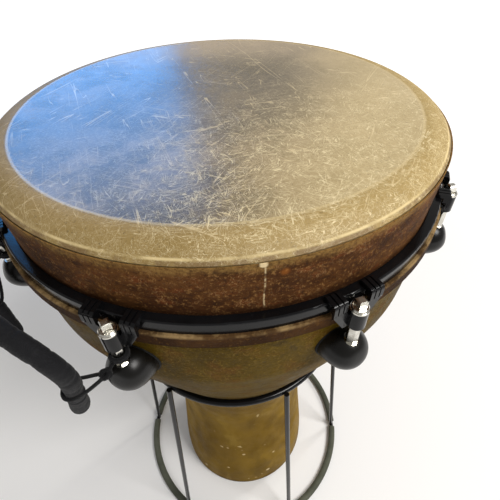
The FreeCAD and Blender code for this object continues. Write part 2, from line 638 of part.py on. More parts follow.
# ---- write the parts -----------------------------------------------------------------
def main():
    os.makedirs("parts", exist_ok=True)
    save("shell", make_shell())
    save("head_film", make_film())
    save("head_collar", make_collar())
    save("flesh_hoop", make_flesh_hoop())
    save("flesh_hoop_wrap", make_flesh_hoop_wrap())
    save("counter_hoop", make_counter_hoop())

    bracket = make_bracket()
    casing = make_casing(wall_solid(GASKET + 0.05))
    gasket = make_gasket()
    nut = make_nut()
    washer = make_washer()
    screws, screw_washers = make_screws()
    groups = {"receiver_nuts": [nut], "rod_washers": [washer], "lug_gaskets": [gasket],
              "lug_screws": screws, "lug_screw_washers": screw_washers}
    for number, azimuth in enumerate(lug_azimuths(), 1):
        save("tuning_bracket_%d" % number, placed(bracket, azimuth))
        rod = make_rod(ROD_HEAD_TURN[0] + ROD_HEAD_TURN[1] * (number - 1))
        save("tension_rod_%d" % number, placed(rod, azimuth))
        save("lug_casing_%d" % number, placed(casing, azimuth))
    for name, pieces in groups.items():
        copies = [placed(piece, azimuth) for azimuth in lug_azimuths() for piece in pieces]
        save(name, Part.makeCompound(copies))

    floor_ring = torus(FLOOR_RING_RADIUS, FLOOR_RING_WIRE, SLEEVE)
    top_ring = torus(TOP_RING_RADIUS, TOP_RING_WIRE, TOP_RING_HEIGHT)
    rings = floor_ring.fuse(top_ring)
    save("stand_floor_ring", floor_ring)
    save("stand_top_ring", top_ring)
    save("floor_ring_sleeves", Part.makeCompound(make_sleeves()))
    stand_rod = make_stand_rod(rings)
    for i in range(STAND_RODS):
        save("stand_rod_%d" % (i + 1), placed(stand_rod, STAND_FIRST_ROD + 360.0 / STAND_RODS * i))

    save("carry_strap", make_strap())
    save("strap_tie_front", make_tie(LUG_FIRST, -1))
    save("strap_tie_side", make_tie(LUG_FIRST - 360.0 / LUG_COUNT, 1))


main()
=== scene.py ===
"""A key-tuned djembe in its wire floor stand: materials, strap, cords, floor, light, camera."""

import json
import math
import random

import bpy
from mathutils import Matrix, Vector


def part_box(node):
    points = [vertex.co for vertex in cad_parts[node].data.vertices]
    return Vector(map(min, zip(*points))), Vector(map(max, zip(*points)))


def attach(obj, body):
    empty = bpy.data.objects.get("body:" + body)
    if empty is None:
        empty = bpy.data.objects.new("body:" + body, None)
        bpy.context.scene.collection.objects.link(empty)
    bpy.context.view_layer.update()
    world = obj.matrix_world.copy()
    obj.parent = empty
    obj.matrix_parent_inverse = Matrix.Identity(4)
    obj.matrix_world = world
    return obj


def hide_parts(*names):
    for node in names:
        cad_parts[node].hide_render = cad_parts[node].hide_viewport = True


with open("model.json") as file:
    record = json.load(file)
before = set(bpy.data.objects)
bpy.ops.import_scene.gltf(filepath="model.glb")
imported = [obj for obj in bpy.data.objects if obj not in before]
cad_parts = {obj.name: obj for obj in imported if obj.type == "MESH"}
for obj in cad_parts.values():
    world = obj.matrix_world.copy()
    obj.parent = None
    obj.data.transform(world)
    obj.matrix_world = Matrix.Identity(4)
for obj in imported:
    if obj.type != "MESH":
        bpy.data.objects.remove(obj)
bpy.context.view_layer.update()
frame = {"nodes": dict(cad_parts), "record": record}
nodes = frame["nodes"]
scene = bpy.context.scene

MM = 0.001
FRONT_LUG = -112.5
SIDE_LUG = -157.5
ROD_AXIS_RADIUS = 193.4
HEAD_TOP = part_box("head_film")[1][2]


def polar(radius, azimuth, height):
    """A point in metres, from millimetres and degrees."""
    a = math.radians(azimuth)
    return Vector((radius * MM * math.cos(a), radius * MM * math.sin(a), height * MM))


# ---- camera --------------------------------------------------------------------
CAMERA_AT = Vector((0.0, -0.31455, 0.76434))
CAMERA_DOWN = 43.826
CAMERA_RIGHT = 3.991
CAMERA_ROLL = 1.772
CAMERA_LENS = 27.84
CAMERA_SENSOR = 36.0
CAMERA_NEAR = 0.02

camera = bpy.data.objects.new("camera", bpy.data.cameras.new("camera"))
camera.data.sensor_width = CAMERA_SENSOR
camera.data.lens = CAMERA_LENS
camera.data.clip_start = CAMERA_NEAR
camera.matrix_world = (
    Matrix.Translation(CAMERA_AT)
    @ Matrix.Rotation(math.radians(-CAMERA_RIGHT), 4, "Z")
    @ Matrix.Rotation(math.radians(90.0 - CAMERA_DOWN), 4, "X")
    @ Matrix.Rotation(math.radians(-CAMERA_ROLL), 4, "Z")
)
scene.collection.objects.link(camera)
scene.camera = camera


# ---- sizes that the materials follow, in metres, unless they say otherwise ------------------
HEAD_COLOUR_EDGE = (0.1575, 0.1620)
HEAD_MATT_EDGE = (0.1585, 0.1610)
HEAD_RING_LINE = 0.1592
HEAD_CREST_LINE = 0.17765
HEAD_CREST_UNDER = (0.1779, 0.1788)
COLLAR_WORN = (0.6240, 0.6315)
COLLAR_SHADE_BAND = (0.592, 0.584)
DRIP_START = (0.586, 0.590)
DRIP_DEGREES = 5.35
WRAP_PALE_EDGE = (0.5722, 0.5748)
WRAP_SHADE_EDGE = (0.5660, 0.5646)
STEM_TO_BOWL = (0.325, 0.365)
FOOT_DARKENING = (0.012, 0.001)
# azimuth in degrees, height in millimetres, size in metres
STEM_CHIPS = [(-133.0, 22.0, 0.0022), (-92.6, 112.0, 0.0016), (-108.0, 60.0, 0.0014),
              (-71.0, 34.0, 0.0024), (-64.0, 88.0, 0.0014)]
STEM_FOOT_RADIUS = 104.8
STEM_TAPER = 0.09
STEM_STRAIGHT = 40.0

# hairs: how much finer than their patches, how soft the patches' edges, how they waver
PATCH_SCALE = 0.22
PATCH_SOFT = 0.06
HAIR_DETAIL = 1.5
HAIR_WAVER = 0.25


# ---- node helpers ----------------------------------------------------------------
class Surface:
    """One node-based material, with short names for the nodes it is made of."""

    def __init__(self, name, metallic=0.0, specular=0.5):
        self.material = bpy.data.materials.new(name)
        self.material.use_nodes = True
        self.tree = self.material.node_tree
        self.shader = self.tree.nodes["Principled BSDF"]
        self.shader.inputs["Metallic"].default_value = metallic
        self.shader.inputs["Specular IOR Level"].default_value = specular
        self.place = self.tree.nodes.new("ShaderNodeTexCoord").outputs["Object"]

    def link(self, value, socket):
        if isinstance(value, (int, float)):
            socket.default_value = value
        elif isinstance(value, tuple):
            socket.default_value = (*value, 1.0) if len(socket.default_value) == 4 else value
        else:
            self.tree.links.new(value, socket)

    def mapped(self, scale=(1, 1, 1), turn=(0, 0, 0), shift=(0, 0, 0), source=None):
        node = self.tree.nodes.new("ShaderNodeMapping")
        node.inputs["Scale"].default_value = scale
        node.inputs["Rotation"].default_value = [math.radians(t) for t in turn]
        node.inputs["Location"].default_value = shift
        self.link(source or self.place, node.inputs["Vector"])
        return node.outputs["Vector"]

    def noise(self, scale, detail=4.0, rough=0.55, distort=0.0, source=None, colour=False):
        node = self.tree.nodes.new("ShaderNodeTexNoise")
        self.link(source or self.place, node.inputs["Vector"])
        node.inputs["Scale"].default_value = scale
        node.inputs["Detail"].default_value = detail
        node.inputs["Roughness"].default_value = rough
        node.inputs["Distortion"].default_value = distort
        return node.outputs["Color" if colour else "Fac"]

    def math(self, kind, a, b=0.0):
        node = self.tree.nodes.new("ShaderNodeMath")
        node.operation = kind
        self.link(a, node.inputs[0])
        self.link(b, node.inputs[1])
        return node.outputs[0]

    def plus(self, a, b):
        return self.math("ADD", a, b)

    def times(self, a, b):
        return self.math("MULTIPLY", a, b)

    def band(self, value, low, high, out_low=0.0, out_high=1.0):
        """value from low..high to out_low..out_high, smoothly and clamped."""
        node = self.tree.nodes.new("ShaderNodeMapRange")
        node.interpolation_type = "SMOOTHSTEP"
        self.link(value, node.inputs["Value"])
        node.inputs["From Min"].default_value = low
        node.inputs["From Max"].default_value = high
        node.inputs["To Min"].default_value = out_low
        node.inputs["To Max"].default_value = out_high
        return node.outputs["Result"]

    def window(self, value, centre, half, soft):
        """1 within half of centre, falling to 0 over soft."""
        away = self.math("ABSOLUTE", self.math("SUBTRACT", value, centre))
        return self.band(away, half, half + soft, 1.0, 0.0)

    def ridges(self, scale, width, detail=2.0, distort=0.0, source=None):
        """Thin curling lines: where a noise field crosses its middle value."""
        field = self.noise(scale, detail, 0.5, distort, source)
        away = self.math("ABSOLUTE", self.math("SUBTRACT", field, 0.5))
        return self.band(away, 0.0, width, 1.0, 0.0)

    def scratches(self, turns, scale, stretch, width, cover, seed):
        """Fine nearly straight hairs lying in several directions, present only in patches."""
        total = None
        for i, turn in enumerate(turns):
            turned = self.mapped(turn=(0, 0, turn), shift=(seed + i * 0.37, i * 0.21, 0.0))
            along = self.mapped((1.0, stretch, 1.0), source=turned)
            line = self.ridges(scale, width, HAIR_DETAIL, HAIR_WAVER, along)
            elsewhere = self.mapped(shift=(seed + i * 1.7, i * 2.3, 0.0))
            patch = self.noise(scale * PATCH_SCALE, 2.0, source=elsewhere)
            line = self.times(line, self.band(patch, cover, cover + PATCH_SOFT))
            total = line if total is None else self.math("MAXIMUM", total, line)
        return total

    def mix(self, factor, a, b):
        node = self.tree.nodes.new("ShaderNodeMix")
        node.data_type = "RGBA"
        node.clamp_factor = True
        self.link(factor, node.inputs[0])
        self.link(a, node.inputs[6])
        self.link(b, node.inputs[7])
        return node.outputs[2]

    def tint(self, base, value, limits, amount, colour):
        """base, with up to amount of colour over it as value goes from one limit to the other."""
        return self.mix(self.band(value, *limits, 0.0, amount), base, colour)

    def over(self, base, mask, amount, colour):
        """base, with colour over it where mask is 1. The amount is a number or another mask."""
        return self.mix(self.times(mask, amount), base, colour)

    def parts(self, source=None):
        node = self.tree.nodes.new("ShaderNodeSeparateXYZ")
        self.link(source or self.place, node.inputs[0])
        return node.outputs

    def radius(self):
        x, y, _ = self.parts()
        return self.math("SQRT", self.plus(self.times(x, x), self.times(y, y)))

    def near(self, point, size, soft):
        """1 at a spot on the object, 0 away from it."""
        node = self.tree.nodes.new("ShaderNodeVectorMath")
        node.operation = "DISTANCE"
        wobble = self.tree.nodes.new("ShaderNodeVectorMath")
        wobble.operation = "MULTIPLY_ADD"
        self.link(self.noise(260.0, 2.0, colour=True), wobble.inputs[0])
        wobble.inputs[1].default_value = (size, size, size)
        self.link(self.place, wobble.inputs[2])
        self.link(wobble.outputs[0], node.inputs[0])
        node.inputs[1].default_value = [c + size * 0.5 for c in point]
        return self.band(node.outputs["Value"], size, size + soft, 1.0, 0.0)

    def bump(self, height, strength, distance, before=None):
        node = self.tree.nodes.new("ShaderNodeBump")
        node.inputs["Strength"].default_value = strength
        node.inputs["Distance"].default_value = distance
        self.link(height, node.inputs["Height"])
        if before is not None:
            self.link(before, node.inputs["Normal"])
        return node.outputs["Normal"]

    def finish(self, colour, roughness, normal):
        self.link(colour, self.shader.inputs["Base Color"])
        self.link(roughness, self.shader.inputs["Roughness"])
        self.link(normal, self.shader.inputs["Normal"])
        return self.material


# ---- materials ------------------------------------------------------------------
def head_skin():
    s = Surface("head_skin", specular=0.5)
    radius = s.radius()
    x, y, _ = s.parts()
    broad = s.noise(8.0, 3.0, 0.55)
    blotch = s.noise(34.0, 4.0, 0.62)
    speck = s.noise(620.0, 3.0, 0.75)
    base = s.mix(s.band(broad, 0.35, 0.65), (0.125, 0.096, 0.060), (0.215, 0.165, 0.104))
    base = s.tint(base, blotch, (0.42, 0.62), 0.7, (0.072, 0.056, 0.034))
    worn = s.near((-0.005, 0.045, HEAD_TOP), 0.055, 0.085)
    base = s.over(base, worn, 0.5, (0.080, 0.066, 0.052))
    smudge = s.near((0.045, 0.078, HEAD_TOP), 0.012, 0.035)
    base = s.over(base, smudge, 0.6, (0.050, 0.037, 0.018))
    # The far side turns rosy: partly the skin's own tone, partly a painted reflection.
    rosy_and_far_sheen = s.band(s.plus(y, s.times(broad, 0.06)), 0.09, 0.18, 0.0, 0.6)
    base = s.mix(rosy_and_far_sheen, base, (0.42, 0.325, 0.215))
    # The right side turns paler gold: partly the skin's own tone, partly a painted warm reflection.
    rightwards = s.plus(s.times(y, -0.35), s.plus(x, s.times(broad, 0.05)))
    gold_and_warm_sheen = s.band(rightwards, 0.05, 0.16, 0.0, 0.65)
    base = s.mix(gold_and_warm_sheen, base, (0.60, 0.460, 0.220))
    ring = s.band(radius, *HEAD_COLOUR_EDGE)
    base = s.over(base, ring, 0.75, (0.33, 0.218, 0.056))
    # A thin pale line at the ring line: a painted highlight where the head starts to bend down over
    # the bearing edge.
    line = s.window(radius, HEAD_RING_LINE, 0.0004, 0.0010)
    base = s.over(base, line, 0.40, (0.66, 0.52, 0.27))
    base = s.tint(base, speck, (0.52, 0.70), 0.45, (0.34, 0.265, 0.140))
    base = s.tint(base, speck, (0.46, 0.28), 0.45, (0.040, 0.030, 0.014))
    front = s.band(s.plus(y, s.times(x, -0.3)), 0.04, -0.11, 0.15, 1.0)
    fine = s.scratches((12.0, 61.0, 102.0, 149.0), 620.0, 0.30, 0.022, 0.50, 3.0)
    middle = s.scratches((5.0, 28.0, 49.0, 72.0, 95.0, 118.0, 139.0, 165.0),
                         300.0, 0.10, 0.0090, 0.48, 5.0)
    hairs = s.math("MAXIMUM", middle, s.times(fine, 0.40))
    # The pale hairs thin out towards the left of the head.
    hairs_fade_left = s.band(x, -0.09, 0.01, 0.35, 1.0)
    shown = s.times(s.times(hairs, front), hairs_fade_left)
    base = s.over(base, shown, 0.85, (0.80, 0.68, 0.42))
    long = s.scratches((31.0, 79.0, 118.0, 163.0), 110.0, 0.055, 0.0065, 0.52, 9.0)
    base = s.over(base, long, 0.50, (0.76, 0.62, 0.37))
    # A pale line along the crest, broken up by the blotches: a painted highlight on the rounded
    # crest.
    edge = s.window(radius, HEAD_CREST_LINE, 0.00015, 0.0008)
    edge = s.times(edge, s.band(blotch, 0.36, 0.58, 0.15, 0.8))
    base = s.mix(edge, base, (0.72, 0.57, 0.29))
    patchy = s.band(s.noise(60.0, 3.0, 0.6), 0.36, 0.52, 0.0, 0.6)
    under = s.times(s.band(radius, *HEAD_CREST_UNDER), patchy)
    base = s.mix(under, base, (0.12, 0.062, 0.022))
    glossy, matt = s.band(blotch, 0.3, 0.7, 0.18, 0.26), s.band(radius, *HEAD_MATT_EDGE, 0.0, 0.62)
    rough = s.math("MAXIMUM", glossy, matt)
    lines = s.math("MAXIMUM", hairs, long)
    height = s.plus(s.times(lines, 0.4), s.times(speck, 0.6))
    normal = s.bump(height, 0.16, 0.0004, s.bump(broad, 0.10, 0.002))
    return s.finish(base, rough, normal)


def collar_skin():
    s = Surface("collar_skin", specular=0.04)
    x, y, z = s.parts()
    squeezed = s.mapped((1.0, 1.0, 1.9))
    broad = s.noise(15.0, 4.0, 0.6, source=squeezed)
    blotch = s.noise(62.0, 4.0, 0.65, source=squeezed)
    speck = s.noise(400.0, 3.0, 0.8)
    base = s.mix(s.band(broad, 0.36, 0.66), (0.042, 0.015, 0.005), (0.105, 0.042, 0.012))
    base = s.tint(base, blotch, (0.50, 0.70), 0.7, (0.140, 0.040, 0.011))
    base = s.tint(base, blotch, (0.46, 0.30), 0.7, (0.030, 0.013, 0.006))
    base = s.tint(base, speck, (0.54, 0.68), 0.75, (0.26, 0.135, 0.045))
    base = s.tint(base, speck, (0.46, 0.30), 0.75, (0.022, 0.009, 0.004))
    hair = s.ridges(230.0, 0.024, 2.0, 1.0)
    base = s.over(base, hair, s.band(blotch, 0.44, 0.64, 0.0, 0.5), (0.42, 0.27, 0.12))
    worn = s.band(s.plus(z, s.times(s.noise(34.0, 4.0, 0.65), 0.014)), *COLLAR_WORN)
    base = s.over(base, worn, s.band(speck, 0.35, 0.6, 0.25, 0.8), (0.26, 0.150, 0.045))
    # Darker towards the collar's foot: painted shade where the collar goes down into the hoop.
    low = s.band(z, *COLLAR_SHADE_BAND, 0.0, 0.6)
    base = s.mix(low, base, (0.028, 0.011, 0.005))
    # a pale drip down the front and an orange mark beside it
    angle = s.math("ARCTAN2", x, s.times(y, -1.0))
    wander = s.times(s.math("SUBTRACT", s.noise(90.0, 2.0), 0.5), 0.012)
    drip = s.window(s.plus(angle, wander), math.radians(DRIP_DEGREES), 0.0007, 0.0035)
    broken = s.band(s.noise(210.0, 2.0, source=s.mapped((1, 1, 1.4))), 0.42, 0.54, 0.1, 0.75)
    inside = s.band(z, *DRIP_START)
    base = s.mix(s.times(s.times(drip, inside), broken), base, (0.60, 0.47, 0.27))
    base = s.mix(s.near(polar(181.0, -84.9, 624.3), 0.0013, 0.0016), base, (0.72, 0.57, 0.33))
    orange = s.near(polar(180.8, -81.2, 616.0), 0.0006, 0.0034)
    base = s.over(base, orange, 0.5, (0.32, 0.10, 0.016))
    height = s.plus(speck, s.times(blotch, 0.8))
    normal = s.bump(height, 0.75, 0.0011)
    return s.finish(base, s.band(speck, 0.3, 0.7, 0.55, 0.8), normal)


def band_skin():
    s = Surface("band_skin", specular=0.03)
    _, _, z = s.parts()
    broad = s.noise(20.0, 4.0, 0.6)
    speck = s.noise(480.0, 3.0, 0.75)
    base = s.mix(s.band(broad, 0.35, 0.68), (0.026, 0.011, 0.004), (0.070, 0.031, 0.010))
    base = s.tint(base, speck, (0.55, 0.70), 0.6, (0.15, 0.080, 0.026))
    base = s.tint(base, speck, (0.46, 0.30), 0.65, (0.040, 0.018, 0.008))
    patchy = s.band(s.noise(55.0, 4.0, 0.7), 0.40, 0.62, 0.1, 0.9)
    edge = s.times(s.band(z, *WRAP_PALE_EDGE), patchy)
    base = s.mix(edge, base, (0.30, 0.20, 0.09))
    # Darker along the band's lower edge: painted shade where the band overhangs the shell.
    low = s.band(z, *WRAP_SHADE_EDGE, 0.0, 0.85)
    base = s.mix(low, base, (0.018, 0.010, 0.006))
    normal = s.bump(s.plus(speck, s.times(broad, 2.0)), 0.7, 0.0011)
    return s.finish(base, s.band(speck, 0.3, 0.7, 0.5, 0.75), normal)


def shell_finish():
    s = Surface("shell_finish", specular=0.02)
    s.shader.inputs["Specular Tint"].default_value = (1.0, 0.74, 0.28, 1.0)
    x, y, z = s.parts()
    radius = s.radius()
    broad = s.noise(9.0, 4.0, 0.6)
    blotch = s.noise(48.0, 4.0, 0.65)
    speck = s.noise(430.0, 3.0, 0.76)
    hair = s.ridges(190.0, 0.026, 2.0, 1.1)
    bowl = s.mix(s.band(broad, 0.33, 0.67), (0.050, 0.029, 0.003), (0.112, 0.069, 0.007))
    bowl = s.tint(bowl, blotch, (0.50, 0.68), 0.6, (0.115, 0.048, 0.012))
    bowl = s.tint(bowl, blotch, (0.44, 0.30), 0.6, (0.042, 0.026, 0.007))
    bowl = s.tint(bowl, speck, (0.54, 0.72), 0.7, (0.21, 0.132, 0.022))
    bowl = s.tint(bowl, speck, (0.46, 0.30), 0.6, (0.030, 0.018, 0.006))
    bowl = s.over(bowl, hair, s.band(blotch, 0.42, 0.6, 0.0, 0.5), (0.30, 0.20, 0.055))
    stem = s.mix(s.band(broad, 0.33, 0.67), (0.165, 0.094, 0.011), (0.250, 0.150, 0.019))
    soft = s.noise(26.0, 4.0, 0.6, source=s.mapped((1, 1, 0.55)))
    stem = s.tint(stem, soft, (0.48, 0.68), 0.55, (0.105, 0.060, 0.010))
    stem = s.tint(stem, soft, (0.44, 0.32), 0.4, (0.31, 0.205, 0.040))
    stem = s.tint(stem, speck, (0.58, 0.75), 0.3, (0.36, 0.25, 0.08))
    chips = s.times(s.band(s.noise(30.0, 2.0), 0.62, 0.68), s.band(s.noise(150.0, 2.0), 0.60, 0.64))
    stem = s.mix(chips, stem, (0.56, 0.44, 0.22))
    for azimuth, height, size in STEM_CHIPS:
        reach = STEM_FOOT_RADIUS - STEM_TAPER * max(0.0, height - STEM_STRAIGHT)
        stem = s.mix(s.near(polar(reach, azimuth, height), size, 0.0015), stem, (0.60, 0.48, 0.26))
    base = s.mix(s.band(z, *STEM_TO_BOWL), stem, bowl)
    # Darker towards the bottom of the foot, patchy with the blotches.
    foot = s.band(z, *FOOT_DARKENING, 0.0, 0.8)
    base = s.over(base, foot, s.band(blotch, 0.32, 0.55), (0.045, 0.026, 0.008))
    # inside the shell: bare brown fibre board
    normal_in = s.tree.nodes.new("ShaderNodeTexCoord").outputs["Normal"]
    nx, ny, _ = s.parts(normal_in)
    facing = s.math("DIVIDE", s.plus(s.times(nx, x), s.times(ny, y)),
                    s.math("MAXIMUM", radius, 0.001))
    inside = s.band(facing, -0.02, -0.12)
    fibre = s.mix(s.band(s.noise(120.0, 4.0, 0.7, source=s.mapped((1, 1, 6))), 0.3, 0.7),
                  (0.052, 0.035, 0.022), (0.12, 0.085, 0.055))
    base = s.mix(inside, base, fibre)
    height = s.plus(s.times(speck, 0.9), s.plus(blotch, s.times(hair, 0.5)))
    relief = s.band(z, *STEM_TO_BOWL, 0.15, 1.0)
    normal = s.bump(s.times(height, relief), 0.65, 0.0010)
    return s.finish(base, s.band(blotch, 0.3, 0.7, 0.36, 0.55), normal)


def black_paint(name, colour=(0.0030, 0.0030, 0.0034), rough=0.15, specular=0.22, grain=700.0):
    s = Surface(name, specular=specular)
    fine = s.noise(grain, 3.0, 0.6)
    broad = s.noise(30.0, 3.0, 0.6)
    dust = s.band(s.noise(180.0, 4.0, 0.7), 0.62, 0.82, 0.0, 0.30)
    base = s.mix(s.band(broad, 0.3, 0.7), colour, tuple(c * 1.8 for c in colour))
    base = s.mix(dust, base, tuple(0.014 + c * 2.0 for c in colour))
    roughness = s.band(broad, 0.3, 0.7, rough - 0.05, rough + 0.08)
    return s.finish(base, roughness, s.bump(fine, 0.10, 0.0004))


def bright_plating():
    s = Surface("bright_plating", metallic=1.0)
    broad = s.noise(120.0, 4.0, 0.6)
    scratch = s.noise(500.0, 3.0, 0.7, source=s.mapped((1.0, 1.0, 0.12)))
    base = s.mix(s.band(broad, 0.35, 0.7), (0.78, 0.76, 0.70), (0.55, 0.53, 0.47))
    base = s.mix(s.band(s.noise(300.0, 3.0, 0.7), 0.62, 0.8, 0.0, 0.6), base, (0.22, 0.18, 0.12))
    roughness = s.band(broad, 0.3, 0.7, 0.12, 0.32)
    return s.finish(base, roughness, s.bump(scratch, 0.12, 0.0003))


def plain_steel():
    s = Surface("plain_steel", metallic=1.0)
    broad = s.noise(200.0, 4.0, 0.6)
    base = s.mix(s.band(broad, 0.35, 0.7), (0.45, 0.44, 0.42), (0.30, 0.29, 0.27))
    rough = s.band(broad, 0.3, 0.7, 0.3, 0.5)
    return s.finish(base, rough, s.bump(s.noise(900.0, 2.0), 0.15, 0.0003))


def sleeve_rubber():
    s = Surface("sleeve_rubber", specular=0.15)
    broad = s.noise(14.0, 4.0, 0.6)
    scuff = s.noise(90.0, 4.0, 0.7)
    base = s.mix(s.band(broad, 0.35, 0.68), (0.060, 0.064, 0.046), (0.118, 0.124, 0.092))
    base = s.tint(base, scuff, (0.58, 0.78), 0.5, (0.20, 0.205, 0.16))
    rough = s.band(scuff, 0.3, 0.7, 0.5, 0.72)
    return s.finish(base, rough, s.bump(s.noise(600.0, 3.0), 0.25, 0.0005))


def woven(name, colour, scale):
    """Close black weave or braid, from two crossed sets of ribs."""
    s = Surface(name, specular=0.15)
    s.shader.inputs["Sheen Weight"].default_value = 0.06
    s.shader.inputs["Sheen Roughness"].default_value = 0.5
    wave = []
    for turn in ((35.0, 20.0, 45.0), (-35.0, -20.0, -45.0)):
        node = s.tree.nodes.new("ShaderNodeTexWave")
        s.link(s.mapped(turn=turn), node.inputs["Vector"])
        node.inputs["Scale"].default_value = scale
        node.inputs["Distortion"].default_value = 0.8
        node.inputs["Detail"].default_value = 1.0
        wave.append(node.outputs["Fac"])
    weave = s.times(wave[0], wave[1])
    fluff = s.noise(420.0, 3.0, 0.7)
    base = s.mix(s.band(weave, 0.1, 0.8), colour, tuple(c * 2.4 for c in colour))
    base = s.tint(base, fluff, (0.55, 0.8), 0.5, tuple(0.016 + c * 2.0 for c in colour))
    height = s.plus(s.times(weave, 0.4), fluff)
    return s.finish(base, s.band(fluff, 0.3, 0.7, 0.6, 0.85), s.bump(height, 0.45, 0.0005))


finishes = {
    "head_skin": head_skin(),
    "collar_skin": collar_skin(),
    "band_skin": band_skin(),
    "shell_finish": shell_finish(),
    "black_paint": black_paint("black_paint"),
    "casing_black": black_paint("casing_black", (0.0028, 0.0026, 0.0022), 0.26, 0.26, 500.0),
    "gasket_rubber": black_paint("gasket_rubber", (0.010, 0.010, 0.010), 0.7, 0.2, 300.0),
    "bright_plating": bright_plating(),
    "plain_steel": plain_steel(),
    "sleeve_rubber": sleeve_rubber(),
    "strap_fabric": woven("strap_fabric", (0.0050, 0.0050, 0.0060), 900.0),
    "cord_fabric": woven("cord_fabric", (0.0035, 0.0035, 0.0040), 1300.0),
}

for entry in frame["record"]["subparts"]:
    piece = nodes[entry["node"]]
    piece.data.materials.clear()
    piece.data.materials.append(finishes[entry["material_slot"]])

BEVEL_ANGLE = 40.0
BEVELS = {"tuning_bracket": 0.35, "tension_rod": 0.25, "receiver_nuts": 0.2, "rod_washers": 0.2,
          "flesh_hoop_wrap": 0.4}
for name, piece in nodes.items():
    for start, width in BEVELS.items():
        if name.startswith(start):
            bevel = piece.modifiers.new("eased_edges", "BEVEL")
            bevel.width = width * MM
            bevel.segments = 2
            bevel.limit_method = "ANGLE"
            bevel.angle_limit = math.radians(BEVEL_ANGLE)
            bevel.harden_normals = True


# ---- strap and cords ----------------------------------------------------------------
STRAP_MIDDLE = -135.0
# distance from the axis, degrees from the strap's middle, height
STRAP_HALF = [(215.0, 13.0, 500.0), (215.5, 15.0, 528.0), (217.0, 17.0, 553.0),
              (220.0, 15.2, 576.0), (222.5, 8.6, 591.0)]
STRAP_CROWN = (223.5, 0.0, 597.0)
STRAP_RADIUS = 6.0
STRAP_END_RADIUS = 6.6
TIE_HOLD = (215.6, 15.1, 530.0)
NECK_RADIUS = 4.8
TIE_CORNER = 6.6
TIE_LEAVES = 4.6
TIE_SPREAD = 1.0
KNOT = (205.8, 0.9, 548.4)
COIL_RADIUS = 5.6
COIL_HEIGHTS = (551.1, 555.2)
COIL_POINTS = 26
COIL_START = 10.0
COIL_STEP = 30.0
CORD_RADIUS = 1.3 * MM
BRAID_PITCH = 22.0 * MM
BRAID_STRANDS = 7.0
BRAID_DEPTH = 0.06
KNOT_WIDTH = 3.2 * MM
KNOT_HEIGHT = 2.5 * MM
KNOT_POINTS = 10
KNOT_TURNS = 3
CREASES = 60
NECK_CREASES = 9


def nurbs_curve(name, points):
    """One open smooth spline with these control points."""
    data = bpy.data.curves.new(name, "CURVE")
    data.dimensions = "3D"
    spline = data.splines.new("NURBS")
    spline.points.add(len(points) - 1)
    for target, p in zip(spline.points, points):
        target.co = (*p, 1.0)
    spline.order_u = 3
    spline.use_endpoint_u = True
    spline.resolution_u = 10
    item = bpy.data.objects.new(name, data)
    scene.collection.objects.link(item)
    return item


def line_of(curve):
    """The points that a curve with no bevel follows."""
    bpy.context.view_layer.update()
    mesh = bpy.data.meshes.new_from_object(curve)
    points = [v.co.copy() for v in mesh.vertices]
    bpy.data.meshes.remove(mesh)
    return points


def mesh_object(name, verts, faces, material):
    mesh = bpy.data.meshes.new(name)
    mesh.from_pydata([tuple(v) for v in verts], [], faces)
    mesh.materials.append(material)
    mesh.polygons.foreach_set("use_smooth", [True] * len(faces))
    item = bpy.data.objects.new(name, mesh)
    scene.collection.objects.link(item)
    return item


def tube_mesh(name, path, radius_at, sides, material):
    """A tube round path, closed flat. radius_at(distance, total, angle) is its skin."""
    lengths = [0.0]
    for a, b in zip(path, path[1:]):
        lengths.append(lengths[-1] + (b - a).length)
    total = lengths[-1]
    verts = []
    side = None
    for i, p in enumerate(path):
        tangent = (path[min(i + 1, len(path) - 1)] - path[max(i - 1, 0)]).normalized()
        if side is None:
            side = tangent.orthogonal().normalized()
        side = (side - tangent * side.dot(tangent)).normalized()
        other = tangent.cross(side)
        for k in range(sides):
            a = 2.0 * math.pi * k / sides
            r = radius_at(lengths[i], total, a)
            verts.append(p + side * (r * math.cos(a)) + other * (r * math.sin(a)))
    faces = []
    for i in range(len(path) - 1):
        for k in range(sides):
            n = (k + 1) % sides
            faces.append((i * sides + k, i * sides + n, (i + 1) * sides + n, (i + 1) * sides + k))
    faces.append(tuple(reversed(range(sides))))
    faces.append(tuple(range((len(path) - 1) * sides, len(path) * sides)))
    return mesh_object(name, verts, faces, material)


def resampled(points, step):
    """The same line with evenly spaced points."""
    out = [points[0].copy()]
    left = step
    for a, b in zip(points, points[1:]):
        span = (b - a).length
        at = 0.0
        while span - at >= left:
            at += left
            out.append(a.lerp(b, at / span))
            left = step
        left -= span - at
    if (out[-1] - points[-1]).length > step * 0.3:
        out.append(points[-1].copy())
    return out


def hold_frame(side):
    """The point where a tie holds the strap, and the strap's direction there, upwards."""
    hold = polar(TIE_HOLD[0], STRAP_MIDDLE - side * TIE_HOLD[1], TIE_HOLD[2])
    below, above = [polar(r, STRAP_MIDDLE - side * a, z)
                    for r, a, z in (STRAP_HALF[0], STRAP_HALF[2])]
    return hold, (above - below).normalized()


